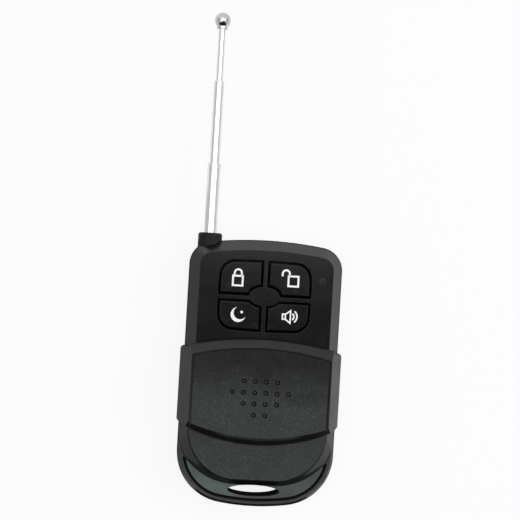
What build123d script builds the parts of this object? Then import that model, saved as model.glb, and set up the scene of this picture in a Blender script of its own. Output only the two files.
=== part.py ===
# Alarm key fob: a two-piece case with four keys, a sliding key cover with
# side wings, a telescopic aerial on the left and a keyring slot at the foot.
#
# Millimetres. The fob lies on its back: +Z is the way the keys face, +Y runs
# towards the aerial and +X is to the right. The origin is the middle of the
# case's flat back.
from build123d import *
from math import atan2, degrees
import os

# Case, in plan
case_length = 72.0
case_half_width = 20.75
foot_half_width = 21.2
foot_shoulder_y = -14.5
head_arc_radius = 105.0
foot_arc_radius = 60.0
head_corner_radius = 6.3
foot_corner_radius = 14.0

# Case, in height
parting_z = 6.4
bevel_start_z = 8.2
face_z = 13.0
bevel_width = 2.8
wall = 1.8
ceiling_z = 11.4
floor_z = 1.4
front_cavity_foot_y = -21.6
rear_cavity_foot_y = -26.8
back_draft_z = 3.0
back_round_z = 0.9
back_draft = 0.2
back_round = 0.75
back_edge = 1.3

# Foot of the face, and of the slope round it where the slope starts
face_foot = {"half_width": 18.45, "y": -28.35, "radius": 13.5}
slope_foot = {"half_width": 21.3, "y": -31.6, "radius": 13.0}
slope_foot_reach = 40.0

# Keyring end
rim_z = 9.5
rim_width = 0.8
scoop_depth = 0.3
scoop_groove_width = 0.7
scoop_groove_depth = 0.85
scoop_groove_floor = 0.04
pad_foot_y = -30.1
pad_foot_half_width = 12.4
pad_waist = (17.9, -24.6)
pad_flare = (24.0, -19.4)
pad_foot_radius = 17.0
pad_waist_radius = 3.0
pad_bevel_width = 1.85
slot_y = -31.65
slot_half_length = 7.0
slot_half_height = 1.5
slot_back_relief = 0.3

# Sliding cover
cover_travel = 21.0
cover_underside_z = 13.65
cover_nose_z = 14.4
cover_top_z = 15.2
cover_top_half_width = 18.75
cover_half_width = 21.8
cover_top_arcs = {"head_y": 7.3, "head_radius": 71.0, "foot_y": -16.5, "foot_radius": 54.0}
cover_nose_arcs = {"head_y": 9.3, "head_radius": 80.0, "foot_y": -17.7, "foot_radius": 50.9}
cover_low_arcs = {"head_y": 9.7, "head_radius": 82.0, "foot_y": -18.85, "foot_radius": 48.0}
cover_bevel_foot_z = 9.0
cover_wall = 0.9
cover_side_gap = 0.15
wing_top_y = 6.5
wing_foot_y = -14.3
wing_chamfer = 1.0
lip_depth = 0.95
lip_gap = 0.15
groove_depth = 0.95
groove_top_z = 7.8
groove_spare = 0.3
panel_recess = 0.25
panel_rim = 0.3
panel_groove_width = 0.4
panel_groove_depth = 0.45
grip_dimple = {"mouth": 1.35, "floor": 0.7, "depth": 0.42}
grip_pitch = 3.0
grip_rows = (4, 6, 4, 2)
grip_first_row_y = -1.8

# Keys
key_cluster_x = -0.25
key_cluster_y = 20.9
key_cluster_half_width = 12.57
key_cluster_half_height = 9.65
key_cluster_bulge = 0.35
key_cluster_corner = 4.3
key_divider_y = 20.35
key_divider_width = 1.0
key_gap = 0.7
key_hub = (4.1, 2.55)
key_hub_y = 20.8
key_top_z = 13.3
key_edge_chamfer = 0.25
key_flange = 0.95
key_flange_top_z = 11.25
key_flange_thickness = 0.7
key_travel = 0.4
key_stem_diameter = 3.0
switch_places = {
    "lock": (-6.6, 25.5), "unlock": (6.6, 25.5), "night": (-6.6, 15.6), "alert": (6.6, 15.6)}
switch_size = 6.0
switch_housing_top_z = 9.6
switch_plate_thickness = 0.2
switch_bore_diameter = 3.6
switch_bore_floor_z = 8.6
plunger_diameter = 3.4
plunger_foot_z = 9.1
plunger_top_z = 10.3

# Circuit board
board_z = 5.0
board_thickness = 1.2
board_left, board_right = -12.4, 17.6
board_foot_y, board_head_y = -9.5, 29.0
board_pin_diameter = 1.8
board_pins = [(16.0, 6.0), (16.0, -8.0), (-9.2, -8.4)]
hub_pin_diameter = 3.0

# What stands on the board: places are (x, y), heights are above the board
encoder_place = (8.8, 1.2)
encoder_size = (11.2, 7.4)
encoder_heights = (0.15, 2.4)
encoder_leads = {"columns": 8, "pitch": 1.27, "width": 0.4, "thickness": 0.25, "reach": 1.4}
resonator_place = (-4.6, 2.4)
resonator_can = (8.2, 3.6)
resonator_rim = (9.2, 0.6)
coil_place = (-6.6, -5.2)
coil_outer, coil_bore, coil_length = 3.6, 2.6, 6.0
trimmer_place = (0.2, -5.7)
trimmer_size = (3.6, 3.4, 1.6)
trimmer_dial = (2.6, 2.0)
trimmer_cut = (2.2, 0.5, 0.3)
transistor_place = (4.6, -5.8)
transistor_size = (2.9, 1.3)
transistor_heights = (0.05, 1.0)
transistor_leads = {"spots": [(-0.95, -1), (0.95, -1), (0, 1)], "width": 0.4, "thickness": 0.2, "reach": 1.2}
small_part_size = (1.2, 1.0, 0.6)
small_part_places = [(7.6, -6.4), (10.0, -6.4), (12.4, -6.4), (1.6, 8.6), (1.6, 6.4), (1.6, 4.2)]

# Indicator
indicator_chip_size = (2.0, 1.2, 0.9)
light_place = (15.05, 26.0)
light_window_diameter = 1.5
light_collar_diameter = 2.4
light_pipe_foot_z = 7.5
light_collar_z = (9.6, 11.4)

# Aerial, from the fixed tube outwards
aerial_x = -15.55
aerial_z = 6.7
aerial_collar_diameter = 6.5
aerial_collar_y = (31.4, 37.2)
aerial_flange_diameter = 7.4
aerial_flange_thickness = 1.0
sleeve_outer, sleeve_bore, sleeve_mouth = 4.5, 3.9, 3.7
sleeve_y = (10.8, 36.9)
base_outer, base_bore, base_mouth = 3.6, 3.1, 2.9
base_y = (31.7, 56.1)
middle_outer, middle_bore, middle_mouth = 2.8, 2.3, 2.0
middle_y = (55.6, 78.5)
tip_outer = 1.9
tip_y = (71.2, 92.6)
mouth_length = 0.5
foot_gap = 0.05
foot_length = 0.8
ball_diameter = 4.3
ball_neck_diameter = 2.9
ball_centre_y = 94.9
ball_socket_depth = 1.0
ball_mouth = {"diameter": 2.6, "depth": 0.4}
collar_mouth_chamfer = 0.4
saddle_places = (17.5, 27.0)
saddle_thickness = 1.2
saddle_gap = 0.1
saddle_split_gap = 0.5
clip_y = (13.2, 16.2)
clip_thickness = 0.3
clip_tab_reach = 1.8

# Battery
battery_y = -17.0
battery_z = 5.7
battery_diameter = 8.0
battery_half_length = 14.1
battery_nub = (3.6, 0.7)
battery_edge_radius = 0.4
cradle_places = (-8.0, 8.0)
cradle_width = 1.2
cradle_length = 9.0
cradle_height = 4.2
cradle_gap = 0.1
contact_thickness = 0.3
contact_width = 6.4
contact_z = (1.8, 9.4)
contact_bow = 1.4
contact_leg_height = 2.0
contact_foot_x = 11.4
contact_foot_length = 1.5
contact_foot_inset = 0.3

# Screws
screw_places = [(-12.6, -24.2), (12.6, -24.2), (13.4, 30.9)]
screw_boss_diameter = 4.2
screw_boss_split_z = 4.0
screw_head_diameter = 3.4
screw_head_z = (0.7, 2.0)
screw_shank_diameter = 2.0
screw_top_z = 9.0
screw_well_diameter = 3.8
screw_pass_diameter = 2.3
screw_head_radius = 0.5
screw_cross = (2.0, 0.5, 0.7)

half_length = case_length / 2
board_top_z = board_z + board_thickness
beyond_case = 5.0


# Helpers

def block(x, y, z):
    # A box given by its two limits along each axis.
    size = Box(x[1] - x[0], y[1] - y[0], z[1] - z[0])
    return Pos((x[0] + x[1]) / 2, (y[0] + y[1]) / 2, (z[0] + z[1]) / 2) * size


def post(place, diameter, z):
    # An upright cylinder.
    column = Cylinder(diameter / 2, z[1] - z[0])
    return Pos(place[0], place[1], (z[0] + z[1]) / 2) * column


def along_aerial(diameter, y):
    # A cylinder on the aerial's axis.
    rod = Rot(-90, 0, 0) * Cylinder(diameter / 2, y[1] - y[0])
    return Pos(aerial_x, (y[0] + y[1]) / 2, aerial_z) * rod


def raised(plan, z, height):
    return extrude(Pos(0, 0, z) * plan, height, dir=(0, 0, 1))


def tapered(plan, z, height, inset):
    # The plan raised by height, drawn in by inset all round at the top.
    angle = degrees(atan2(inset, height))
    return extrude(Pos(0, 0, z) * plan, height, dir=(0, 0, 1), taper=angle)


def sloped(low, low_z, high, high_z):
    # A solid with flat slopes from one plan to another of like edges.
    return loft([Pos(0, 0, low_z) * low.face(), Pos(0, 0, high_z) * high.face()], ruled=True)


def drawn_along_y(points, y):
    # A section given as (x, z) points, drawn between two limits along Y.
    section = make_face(Plane.XZ * Polyline(*points, close=True))
    return extrude(Pos(0, y[0], 0) * section, y[1] - y[0], dir=(0, 1, 0))


def one_piece(shape):
    # A tidy solid, with coplanar faces merged.
    return shape.clean()


# Case

def case_plan(half_width, inset=0.0):
    # The case seen from the front, drawn in all round by inset: shallow
    # arcs at head and foot, and a larger corner radius at the foot.
    plan = Rectangle(2 * (half_width - inset), case_length - 2 * inset)
    plan &= Pos(0, half_length - head_arc_radius) * Circle(head_arc_radius - inset)
    plan &= Pos(0, foot_arc_radius - half_length) * Circle(foot_arc_radius - inset)
    head = plan.vertices().sort_by(Axis.Y)[-2:]
    plan = fillet(head, head_corner_radius - inset)
    foot = plan.vertices().sort_by(Axis.Y)[:2]
    return fillet(foot, foot_corner_radius - inset)


def below_shoulder():
    reach = 2 * foot_half_width
    return block((-reach, reach), (-case_length, foot_shoulder_y), (-1, 2 * face_z))


def with_foot(make):
    # make(half_width) for the whole case, joined to the wider foot.
    return make(case_half_width) + (make(foot_half_width) & below_shoulder())


def rounded_foot(foot):
    # A tall plan with rounded lower corners.
    plan = Rectangle(2 * foot["half_width"], slope_foot_reach)
    plan = Pos(0, foot["y"] + slope_foot_reach / 2) * plan
    return fillet(plan.vertices().sort_by(Axis.Y)[:2], foot["radius"])


def outside_face_foot():
    # What the slope round the foot of the face takes off the case, down to the rim.
    reach = 2 * foot_half_width
    around = block((-reach, reach), (-case_length, foot_shoulder_y), (rim_z, face_z + 1))
    return around - sloped(rounded_foot(slope_foot), bevel_start_z, rounded_foot(face_foot), face_z)


def front_blank():
    def make(half_width):
        plan = case_plan(half_width)
        upright = raised(plan, parting_z, bevel_start_z - parting_z)
        return upright + tapered(plan, bevel_start_z, face_z - bevel_start_z, bevel_width)
    return with_foot(make)


def rear_blank():
    # The back is built upside down from the parting line, then turned over.
    def make(half_width):
        first = parting_z - back_draft_z
        second = back_draft_z - back_round_z
        layer = tapered(case_plan(half_width), 0, first, back_draft)
        layer += tapered(case_plan(half_width, back_draft), first, second, back_round)
        last_plan = case_plan(half_width, back_draft + back_round)
        return layer + tapered(last_plan, first + second, back_round_z, back_edge)
    return Pos(0, 0, parting_z) * mirror(with_foot(make), Plane.XY)


def cavity_plan(foot_y):
    reach = case_length
    plan = case_plan(case_half_width, wall)
    return plan & Pos(0, foot_y + reach / 2) * Rectangle(reach, reach)


def front_cavity():
    plan = cavity_plan(front_cavity_foot_y)
    inset = bevel_width * (ceiling_z - bevel_start_z) / (face_z - bevel_start_z)
    hollow = raised(plan, parting_z, bevel_start_z - parting_z)
    return hollow + tapered(plan, bevel_start_z, ceiling_z - bevel_start_z, inset)


def slot_plan(margin=0.0):
    return Pos(0, slot_y) * Ellipse(slot_half_length + margin, slot_half_height + margin)


def pad_plan(inset=0.0):
    # What stays high at the foot, drawn in all round by inset; outside it
    # the case drops to the rim.
    right = [(pad_foot_half_width, pad_foot_y), pad_waist, pad_flare, (pad_flare[0], 0)]
    left = [(-x, y) for x, y in reversed(right)]
    plan = offset(make_face(Polyline(*right, *left, close=True)), -inset, kind=Kind.INTERSECTION)
    plan = fillet(plan.vertices().sort_by(Axis.Y)[2:4], pad_waist_radius + inset)
    return fillet(plan.vertices().sort_by(Axis.Y)[:2], pad_foot_radius - inset)


def scoop_groove(plan, top_z):
    # A V-shaped groove just inside the edge of the scoop; plan(inset) gives the edge.
    low_z = top_z - scoop_groove_depth
    left = (scoop_groove_width - scoop_groove_floor) / 2
    outer = sloped(plan(left), low_z, plan(0), top_z)
    return outer - sloped(plan(left + scoop_groove_floor), low_z, plan(scoop_groove_width), top_z)


def keyring_recess():
    # Everything above the rim and outside the pad, and the shallow scoop
    # with a groove round it.
    def plan(inset):
        return case_plan(foot_half_width, side_inset + rim_width + inset)
    reach = 2 * foot_half_width
    pad = raised(pad_plan(), rim_z - 2, 2)
    pad += sloped(pad_plan(), rim_z, pad_plan(pad_bevel_width), face_z)
    above = block((-reach, reach), (-case_length, pad_flare[1]), (rim_z, face_z + 1))
    side_inset = bevel_width * (rim_z - bevel_start_z) / (face_z - bevel_start_z)
    scoop_z = rim_z - scoop_depth
    scoop = raised(plan(0), scoop_z, scoop_depth) + scoop_groove(plan, scoop_z)
    lower = block((-reach, reach), (-case_length, pad_flare[1]), (0, face_z))
    return (above + (scoop & lower)) - pad


def key_cluster_plan(margin=0.0):
    # The field that the four keys share, grown all round by margin.
    w, h = key_cluster_half_width + margin, key_cluster_half_height + margin
    x, y = w - key_cluster_bulge, h - key_cluster_bulge
    sides = [
        ThreePointArc((x, y), (0, h), (-x, y)),
        ThreePointArc((-x, y), (-w, 0), (-x, -y)),
        ThreePointArc((-x, -y), (0, -h), (x, -y)),
        ThreePointArc((x, -y), (w, 0), (x, y)),
    ]
    plan = make_face(Wire(sides))
    return Pos(key_cluster_x, key_cluster_y) * fillet(plan.vertices(), key_cluster_corner + margin)


def key_cross_plan(margin=0.0):
    # The cross and hub between the keys, thinned all round by margin.
    reach = 2 * case_length
    width = key_divider_width - 2 * margin
    cross = Rectangle(width, reach) + Pos(0, key_divider_y) * Rectangle(reach, width)
    cross += Pos(0, key_hub_y) * Ellipse(key_hub[0] - margin, key_hub[1] - margin)
    return Pos(key_cluster_x, 0) * cross


def key_plan(margin=0.0):
    # All four keys' openings in the face, grown by margin.
    return key_cluster_plan(margin) - key_cross_plan(margin)


def key_openings():
    return raised(key_plan(), ceiling_z - 1, face_z - ceiling_z + 2)


def aerial_saddle(z):
    # Two ribs that hold the fixed tube; z gives their lower and upper ends.
    x = (-case_half_width + 1.5 * wall, aerial_x + sleeve_outer / 2 + saddle_gap)
    ribs = [block(x, (y, y + saddle_thickness), z) for y in saddle_places]
    return ribs[0] + ribs[1]


def collar_seat():
    seat = along_aerial(aerial_collar_diameter, (aerial_collar_y[0], half_length + beyond_case))
    return seat + along_aerial(aerial_flange_diameter, aerial_flange_y())


def make_front_shell():
    shell = front_blank() - outside_face_foot() - front_cavity() - keyring_recess() - key_openings()
    shell -= raised(slot_plan(), 0, face_z)
    groove_y = (foot_shoulder_y, wing_top_y + cover_travel + groove_spare)
    for side in (-1, 1):
        x = sorted((side * (case_half_width - groove_depth), side * (foot_half_width + beyond_case)))
        shell -= block(x, groove_y, (parting_z, groove_top_z))
    for place in screw_places:
        shell += post(place, screw_boss_diameter, (screw_boss_split_z, ceiling_z))
        shell -= post(place, screw_shank_diameter, (screw_boss_split_z, screw_top_z))
    for place in board_pins:
        shell += post(place, board_pin_diameter, (board_top_z, ceiling_z))
    shell += post((0, key_hub_y), hub_pin_diameter, (board_top_z, ceiling_z))
    shell += aerial_saddle((aerial_z, ceiling_z))
    shell -= along_aerial(sleeve_outer, sleeve_y) + collar_seat()
    shell -= post(light_place, light_window_diameter, (ceiling_z - 1, face_z + 1))
    return one_piece(shell)


def make_rear_shell():
    shell = rear_blank() - raised(cavity_plan(rear_cavity_foot_y), floor_z, parting_z)
    shell -= raised(slot_plan(slot_back_relief), -1, face_z)
    for place in screw_places:
        shell += post(place, screw_boss_diameter, (floor_z, screw_boss_split_z))
        shell -= post(place, screw_well_diameter, (-1, screw_head_z[1]))
        shell -= post(place, screw_pass_diameter, (0, screw_boss_split_z))
    for place in board_pins + [(0, key_hub_y)]:
        shell += post(place, board_pin_diameter, (floor_z, board_z))
    shell += aerial_saddle((floor_z, aerial_z - saddle_split_gap))
    for x in cradle_places:
        y = (battery_y - cradle_length / 2, battery_y + cradle_length / 2)
        rib = block((x - cradle_width / 2, x + cradle_width / 2), y, (floor_z, cradle_height))
        shell += rib - battery_body(cradle_gap)
    return one_piece(shell - (along_aerial(sleeve_outer, sleeve_y) + collar_seat()))


# Sliding cover

def cover_outline(half_width, arcs):
    head = Pos(0, arcs["head_y"] - arcs["head_radius"]) * Circle(arcs["head_radius"])
    foot = Pos(0, arcs["foot_y"] + arcs["foot_radius"]) * Circle(arcs["foot_radius"])
    return Rectangle(2 * half_width, case_length) & head & foot


def cover_slope(z):
    # Half-width of the cover's sloping side at height z.
    run = (cover_half_width - cover_top_half_width) / (cover_top_z - cover_bevel_foot_z)
    return cover_top_half_width + run * (cover_top_z - z)


def right_wing():
    # The wing's section, with the lip that rides in the case's groove.
    inner = case_half_width + cover_side_gap
    outer = cover_slope(cover_underside_z)
    lip_z = (parting_z + lip_gap, groove_top_z - lip_gap)
    points = [
        (outer, cover_underside_z), (cover_half_width, cover_bevel_foot_z), (cover_half_width, lip_z[0]),
        (inner - lip_depth, lip_z[0]), (inner - lip_depth, lip_z[1]), (inner, lip_z[1]),
        (inner, cover_bevel_foot_z), (outer - cover_wall * 1.15, cover_underside_z)]
    return drawn_along_y(points, (wing_foot_y, wing_top_y))


def make_slide_cover():
    # The head slope is steep at its foot, up to the nose's height, and shallow above it.
    low = cover_outline(cover_slope(cover_underside_z), cover_low_arcs)
    nose = cover_outline(cover_slope(cover_nose_z), cover_nose_arcs)
    top = cover_outline(cover_top_half_width, cover_top_arcs)
    plate = sloped(low, cover_underside_z, nose, cover_nose_z)
    plate += sloped(nose, cover_nose_z, top, cover_top_z)
    wings = right_wing() + mirror(right_wing(), Plane.YZ)
    centre_y = (wing_top_y + wing_foot_y) / 2
    trim = Pos(0, centre_y) * Rectangle(2 * cover_half_width, wing_top_y - wing_foot_y)
    trim = chamfer(trim.vertices().group_by(Axis.Y)[0], wing_chamfer)
    trim = fillet(trim.vertices().group_by(Axis.Y)[-1], wing_chamfer)
    wings &= raised(trim, 0, cover_top_z)
    cover = plate + wings
    panel_z = cover_top_z - panel_recess
    panel, groove = sunk_panel(top, panel_rim), sunk_panel(top, panel_rim + panel_groove_width)
    cover -= raised(panel, panel_z, 1)
    cover -= raised(panel - groove - Pos(0, -1) * groove, panel_z - panel_groove_depth, panel_groove_depth)
    return one_piece(cover - grip_dimples(panel_z))


def sunk_panel(top, rim):
    # The panel inside the rim at head and sides; it runs out at the foot.
    panel = offset(top, -rim, kind=Kind.INTERSECTION)
    return panel + Pos(0, -1) * panel


def grip_dimples(mouth_z):
    # Rows of flat-bottomed dimples that narrow towards the foot.
    depth = grip_dimple["depth"]
    dimple = Cone(grip_dimple["floor"] / 2, grip_dimple["mouth"] / 2, depth)
    z = mouth_z - depth / 2
    dimples = []
    for row, count in enumerate(grip_rows):
        for column in range(count):
            x = (column - (count - 1) / 2) * grip_pitch
            dimples.append(Pos(x, grip_first_row_y - row * grip_pitch, z) * dimple)
    return Part() + dimples


# Keys

def make_keycap(name):
    x, y = switch_places[name]
    reach = 2 * key_cluster_half_width
    quarter = Rectangle(reach, reach, align=(Align.MAX if x < 0 else Align.MIN,
                                             Align.MIN if y > key_divider_y else Align.MAX))
    quarter = Pos(key_cluster_x, key_divider_y) * quarter
    flange_z = key_flange_top_z - key_flange_thickness
    cap = raised(quarter & key_plan(-key_gap), key_flange_top_z, key_top_z - key_flange_top_z)
    cap = chamfer(cap.faces().sort_by(Axis.Z)[-1].edges(), key_edge_chamfer)
    cap += raised(quarter & key_plan(key_flange - key_gap), flange_z, key_flange_thickness)
    return one_piece(cap + post((x, y), key_stem_diameter, (plunger_top_z, flange_z)))


def make_plunger(name):
    return post(switch_places[name], plunger_diameter, (plunger_foot_z, plunger_top_z))


def make_switch_housings():
    return group([switch_housing(place) for place in switch_places.values()])


def switch_housing(place):
    half = switch_size / 2
    body = Pos(*place, (board_top_z + switch_housing_top_z) / 2) * Box(
        switch_size, switch_size, switch_housing_top_z - board_top_z)
    body = chamfer(body.edges().filter_by(Axis.Z), half / 6)
    return body - post(place, switch_bore_diameter, (switch_bore_floor_z, switch_housing_top_z + 1))


def make_switch_plates():
    z = (switch_housing_top_z, switch_housing_top_z + switch_plate_thickness)
    half = switch_size / 2 - 0.1
    plates = []
    for x, y in switch_places.values():
        plate = block((x - half, x + half), (y - half, y + half), z)
        plate = chamfer(plate.edges().filter_by(Axis.Z), half / 6)
        plates.append(plate - post((x, y), switch_bore_diameter, (z[0] - 1, z[1] + 1)))
    return group(plates)


def group(solids):
    return Compound(children=[solid.solid() for solid in solids])


# Circuit board and what stands on it

def make_main_board():
    board = block((board_left, board_right), (board_foot_y, board_head_y), (board_z, board_top_z))
    board = fillet(board.edges().filter_by(Axis.Z), 1.0)
    notch = post(screw_places[2], screw_boss_diameter + 1.0, (0, ceiling_z))
    return one_piece(board - notch)


def on_board(place, size, low, high):
    # A block centred on a place, between two heights above the board.
    (x, y), (length, width) = place, size
    z = (board_top_z + low, board_top_z + high)
    return block((x - length / 2, x + length / 2), (y - width / 2, y + width / 2), z)


def make_encoder_chip():
    x, y = encoder_place
    leads = encoder_leads
    chip = on_board(encoder_place, encoder_size, *encoder_heights)
    span = encoder_size[1] + 2 * leads["reach"]
    for column in range(leads["columns"]):
        centre = x + (column - (leads["columns"] - 1) / 2) * leads["pitch"]
        chip += on_board((centre, y), (leads["width"], span), 0, leads["thickness"])
    return one_piece(chip)


def make_saw_resonator():
    can_diameter, can_height = resonator_can
    rim_diameter, rim_height = resonator_rim
    can = post(resonator_place, can_diameter, (board_top_z + rim_height, board_top_z + can_height))
    return one_piece(can + post(resonator_place, rim_diameter, (board_top_z, board_top_z + rim_height)))


def make_tuning_coil():
    coil = Rot(0, 90, 0) * (Cylinder(coil_outer / 2, coil_length) - Cylinder(coil_bore / 2, coil_length))
    return Pos(*coil_place, board_top_z + coil_outer / 2) * coil


def make_trimmer():
    length, width, height = trimmer_size
    dial_diameter, dial_height = trimmer_dial
    cut_length, cut_width, cut_depth = trimmer_cut
    body = on_board(trimmer_place, (length, width), 0, height)
    body += post(trimmer_place, dial_diameter, (board_top_z + height, board_top_z + dial_height))
    cut = on_board(trimmer_place, (cut_length, cut_width), dial_height - cut_depth, dial_height + 1)
    return one_piece(body - cut)


def make_transistor():
    x, y = transistor_place
    leads = transistor_leads
    body = on_board(transistor_place, transistor_size, *transistor_heights)
    for dx, side in leads["spots"]:
        place = (x + dx, y + side * leads["reach"] / 2)
        body += on_board(place, (leads["width"], leads["reach"]), 0, leads["thickness"])
    return one_piece(body)


def make_small_parts():
    # Chip resistors and capacitors in two short rows.
    length, width, height = small_part_size
    return group([on_board(place, (length, width), 0, height) for place in small_part_places])


def make_light_chip():
    length, width, height = indicator_chip_size
    return on_board(light_place, (length, width), 0, height)


def make_light_pipe():
    pipe = post(light_place, light_window_diameter, (light_pipe_foot_z, face_z))
    return one_piece(pipe + post(light_place, light_collar_diameter, light_collar_z))


# Aerial

def aerial_flange_y():
    return (aerial_collar_y[0], aerial_collar_y[0] + aerial_flange_thickness)


def make_aerial_collar():
    collar = along_aerial(aerial_collar_diameter, aerial_collar_y)
    collar = chamfer(collar.edges().sort_by(Axis.Y)[-1], collar_mouth_chamfer)
    collar += along_aerial(aerial_flange_diameter, aerial_flange_y())
    collar -= along_aerial(sleeve_outer, (0, sleeve_y[1]))
    return one_piece(collar - along_aerial(sleeve_bore, (0, 2 * half_length)))


def tube(outer, bore, mouth, y):
    # A drawn tube, open at its foot, with its end crimped in to the mouth.
    body = along_aerial(outer, y)
    body = fillet(body.edges().sort_by(Axis.Y)[-1], (outer - mouth) * 0.4)
    body -= along_aerial(bore, (y[0], y[1] - mouth_length))
    return one_piece(body - along_aerial(mouth, y))


def tube_foot(bore_outside, plug, y):
    # The brass bush at a tube's foot: a disc that slides in the next tube,
    # and a plug in the tube's own end.
    disc = along_aerial(bore_outside - 2 * foot_gap, (y - foot_length, y))
    return one_piece(disc + along_aerial(plug, (y, y + foot_length)))


def make_sleeve():
    body = tube(sleeve_outer, sleeve_bore, sleeve_mouth, sleeve_y)
    return one_piece(body + along_aerial(sleeve_outer, (sleeve_y[0], sleeve_y[0] + foot_length)))


def make_tip_foot():
    return along_aerial(middle_bore - 2 * foot_gap, (tip_y[0] - foot_length, tip_y[0]))


def make_tip_ball():
    ball = Pos(aerial_x, ball_centre_y, aerial_z) * Sphere(ball_diameter / 2)
    neck_y = (tip_y[1], ball_centre_y)
    ball += along_aerial(ball_neck_diameter, neck_y)
    mouth = Cone(ball_mouth["diameter"] / 2, tip_outer / 2, ball_mouth["depth"])
    ball -= Pos(aerial_x, tip_y[1] + ball_mouth["depth"] / 2, aerial_z) * Rot(-90, 0, 0) * mouth
    return one_piece(ball - along_aerial(tip_outer, (tip_y[1], tip_y[1] + ball_socket_depth)))


def make_tip_rod():
    return along_aerial(tip_outer, (tip_y[0], tip_y[1] + ball_socket_depth))


def make_aerial_clip():
    # A spring clip round the fixed tube, with a tab soldered to the board.
    ring = along_aerial(sleeve_outer + 2 * clip_thickness, clip_y) - along_aerial(sleeve_outer, clip_y)
    x = (aerial_x + sleeve_outer / 2 + clip_thickness / 2, board_left + clip_tab_reach)
    return one_piece(ring + block(x, clip_y, (board_top_z, board_top_z + clip_thickness)))


# Battery

def battery_body(gap=0.0):
    length = 2 * battery_half_length - battery_nub[1]
    body = Rot(0, 90, 0) * Cylinder(battery_diameter / 2 + gap, length)
    return Pos(-battery_nub[1] / 2, battery_y, battery_z) * body


def make_battery():
    body = battery_body()
    body = fillet(body.edges().filter_by(GeomType.CIRCLE), battery_edge_radius)
    nub = Rot(0, 90, 0) * Cylinder(battery_nub[0] / 2, 2 * battery_nub[1])
    return one_piece(body + Pos(battery_half_length - battery_nub[1], battery_y, battery_z) * nub)


def contact_leg(side):
    # The strip that runs from a contact to a foot on the board.
    x = sorted((side * battery_half_length, side * (battery_half_length + contact_thickness)))
    foot_y = board_foot_y + contact_foot_inset
    foot_end_y = foot_y + contact_foot_length
    leg = block(x, (battery_y, foot_end_y), (board_top_z, board_top_z + contact_leg_height))
    inner = sorted((side * contact_foot_x, side * (battery_half_length + contact_thickness)))
    return leg + block(inner, (foot_y, foot_end_y), (board_top_z, board_top_z + contact_thickness))


def make_plus_contact():
    y = (battery_y - contact_width / 2, battery_y + contact_width / 2)
    plate = block((battery_half_length, battery_half_length + contact_thickness), y, contact_z)
    return one_piece(plate + contact_leg(1))


def make_minus_contact():
    # A flat strip folded into a bow that presses on the battery's base.
    tip, back, t = -battery_half_length, -battery_half_length - contact_bow, contact_thickness
    low, high = contact_z
    mid = (low + high) / 2
    outside = [(tip, mid), (back, high), (back, low), (back - t, low),
               (back - t, high + t), (back + t, high + t), (tip, mid + 3 * t)]
    bow = drawn_along_y(outside, (battery_y - contact_width / 2, battery_y + contact_width / 2))
    return one_piece(bow + contact_leg(-1) - battery_body())


# Screws

def make_case_screws():
    return group([case_screw(place) for place in screw_places])


def case_screw(place):
    head = post(place, screw_head_diameter, screw_head_z)
    head = fillet(head.edges().sort_by(Axis.Z)[0], screw_head_radius)
    length, width, depth = screw_cross
    z = (screw_head_z[0] - 1, screw_head_z[0] + depth)
    x, y = place
    head -= block((x - length / 2, x + length / 2), (y - width / 2, y + width / 2), z)
    head -= block((x - width / 2, x + width / 2), (y - length / 2, y + length / 2), z)
    return one_piece(head + post(place, screw_shank_diameter, (screw_head_z[1], screw_top_z)))


# Every node and the function that makes it

parts = {
    "rear_shell": make_rear_shell,
    "front_shell": make_front_shell,
    "slide_cover": make_slide_cover,
    "switch_housings": make_switch_housings,
    "switch_plates": make_switch_plates,
    "main_board": make_main_board,
    "encoder_chip": make_encoder_chip,
    "saw_resonator": make_saw_resonator,
    "tuning_coil": make_tuning_coil,
    "trimmer_capacitor": make_trimmer,
    "rf_transistor": make_transistor,
    "small_board_parts": make_small_parts,
    "indicator_chip": make_light_chip,
    "indicator_light_pipe": make_light_pipe,
    "aerial_collar": make_aerial_collar,
    "aerial_sleeve": make_sleeve,
    "aerial_base_tube": lambda: tube(base_outer, base_bore, base_mouth, base_y),
    "aerial_base_foot": lambda: tube_foot(sleeve_bore, base_bore, base_y[0]),
    "aerial_middle_tube": lambda: tube(middle_outer, middle_bore, middle_mouth, middle_y),
    "aerial_middle_foot": lambda: tube_foot(base_bore, middle_bore, middle_y[0]),
    "aerial_tip_rod": make_tip_rod,
    "aerial_tip_foot": make_tip_foot,
    "aerial_tip_ball": make_tip_ball,
    "aerial_clip": make_aerial_clip,
    "battery": make_battery,
    "battery_plus_contact": make_plus_contact,
    "battery_minus_contact": make_minus_contact,
    "case_screws": make_case_screws,
}
for key_name in switch_places:
    parts[key_name + "_key"] = lambda name=key_name: make_keycap(name)
    parts[key_name + "_plunger"] = lambda name=key_name: make_plunger(name)

os.makedirs("parts", exist_ok=True)
for node, make in parts.items():
    export_step(make(), f"parts/{node}.step")
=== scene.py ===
import bpy
from math import pi, radians
from mathutils import Matrix, Vector


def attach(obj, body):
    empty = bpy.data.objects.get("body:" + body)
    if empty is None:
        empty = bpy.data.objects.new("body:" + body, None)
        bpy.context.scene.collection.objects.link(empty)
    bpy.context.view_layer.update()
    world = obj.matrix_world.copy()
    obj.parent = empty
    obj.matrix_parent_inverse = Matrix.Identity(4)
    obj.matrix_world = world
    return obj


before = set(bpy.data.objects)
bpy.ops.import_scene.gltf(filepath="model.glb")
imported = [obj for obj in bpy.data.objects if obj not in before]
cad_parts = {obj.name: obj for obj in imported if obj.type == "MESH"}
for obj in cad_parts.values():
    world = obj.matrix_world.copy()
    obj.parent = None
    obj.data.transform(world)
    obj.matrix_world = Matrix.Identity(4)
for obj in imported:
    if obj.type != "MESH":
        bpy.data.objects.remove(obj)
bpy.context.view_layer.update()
mm = 0.001

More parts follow.
